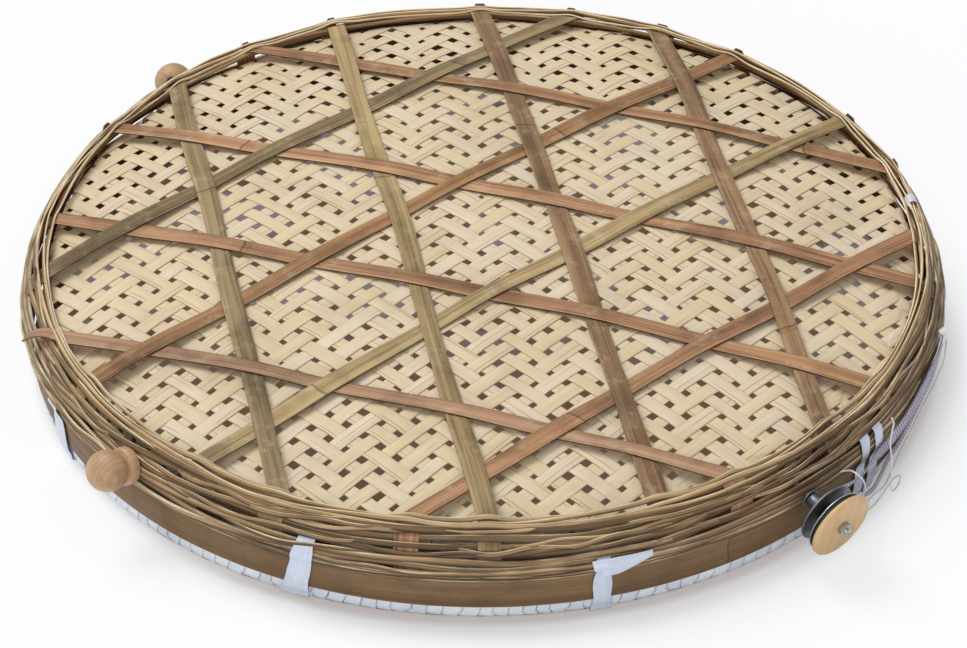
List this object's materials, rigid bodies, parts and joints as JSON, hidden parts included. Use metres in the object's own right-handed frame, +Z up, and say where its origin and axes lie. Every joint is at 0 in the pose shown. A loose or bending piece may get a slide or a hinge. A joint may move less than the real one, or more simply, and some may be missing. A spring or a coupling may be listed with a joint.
{
  "type": "food cover",
  "caption": "Shallow round woven bamboo food cover: a domed twill mat crossed by wide strips, a wicker side wall, a tape-wound hoop, turned knobs and a button for an elastic loop.",
  "frame": {"origin": "centre of the round wall, on the plane the hoop rests on", "axes": "+Z up through the middle of the domed top, -Y towards the side seen in front in the picture, +X to its right"},
  "size_m": [0.597, 0.597, 0.0793],
  "materials": {
    "mat": "pale split bamboo, twill weave with open holes",
    "band": "smooth olive brown bamboo skin",
    "tape": "thin white plastic tape",
    "splint": "coarse split bamboo, paler at the upper edges",
    "red_brown_strip": "bamboo skin with fine grain and nodes",
    "pink_tan_strip": "bamboo skin with fine grain and nodes",
    "olive_strip": "bamboo skin with fine grain and nodes",
    "orange_brown_strip": "bamboo skin with fine grain and nodes",
    "olive_yellow_strip": "bamboo skin with fine grain and nodes",
    "grey_brown_strip": "bamboo skin with fine grain and nodes",
    "knob_wood": "turned wood, worn varnish",
    "pale_wood": "smooth pale turned wood",
    "steel": "bright zinc",
    "dark_steel": "dull grey zinc",
    "rubber": "matt black",
    "elastic": "grey lavender knitted elastic",
    "string": "white thin string"
  },
  "bodies": {
    "cover": {"bow_string": "string", "button_bolt": "steel", "button_nut": "steel", "button_plate": "dark_steel", "button_sleeve": "rubber", "button_spacer": "dark_steel", "button_washer": "steel", "curl_string": "string", "elastic_band": "elastic", "elastic_knot": "string", "hoop_winding_1": "tape", "hoop_winding_2": "tape", "hoop_winding_3": "tape", "hoop_winding_4": "tape", "inner_band": "band", "knob_front": "knob_wood", "knob_front_screw": "steel", "knob_front_washer": "steel", "knob_rear": "knob_wood", "knob_rear_screw": "steel", "knob_rear_washer": "steel", "mat_skirt": "mat", "outer_band": "band", "rim_hoop": "band", "rubber_disc": "rubber", "steel_disc": "steel", "strip_a1": "red_brown_strip", "strip_a2": "red_brown_strip", "strip_a3": "red_brown_strip", "strip_a4": "pink_tan_strip", "strip_b1": "olive_strip", "strip_b2": "orange_brown_strip", "strip_b3": "olive_yellow_strip", "strip_b4": "red_brown_strip", "strip_c1": "olive_strip", "strip_c2": "olive_yellow_strip", "strip_c3": "grey_brown_strip", "strip_c4": "grey_brown_strip", "tie_1": "tape", "tie_2": "tape", "tie_3": "tape", "tie_3_fold": "tape", "tie_4": "tape", "tie_4b": "tape", "tie_5": "tape", "wall_washer": "dark_steel", "weaver_1": "splint", "weaver_2": "splint", "weaver_3": "splint", "weaver_4": "splint", "weaver_5": "splint", "weaver_6": "splint", "woven_mat": "mat"},
    "button": {"wood_button": "pale_wood"}
  },
  "joints": [
    {"name": "button_turn", "type": "hinge", "parent": "cover", "child": "button", "pos_m": [0.19747, -0.22398, 0.0398], "axis": [0.6469, -0.7337, -0.2079], "continuous": true}
  ]
}
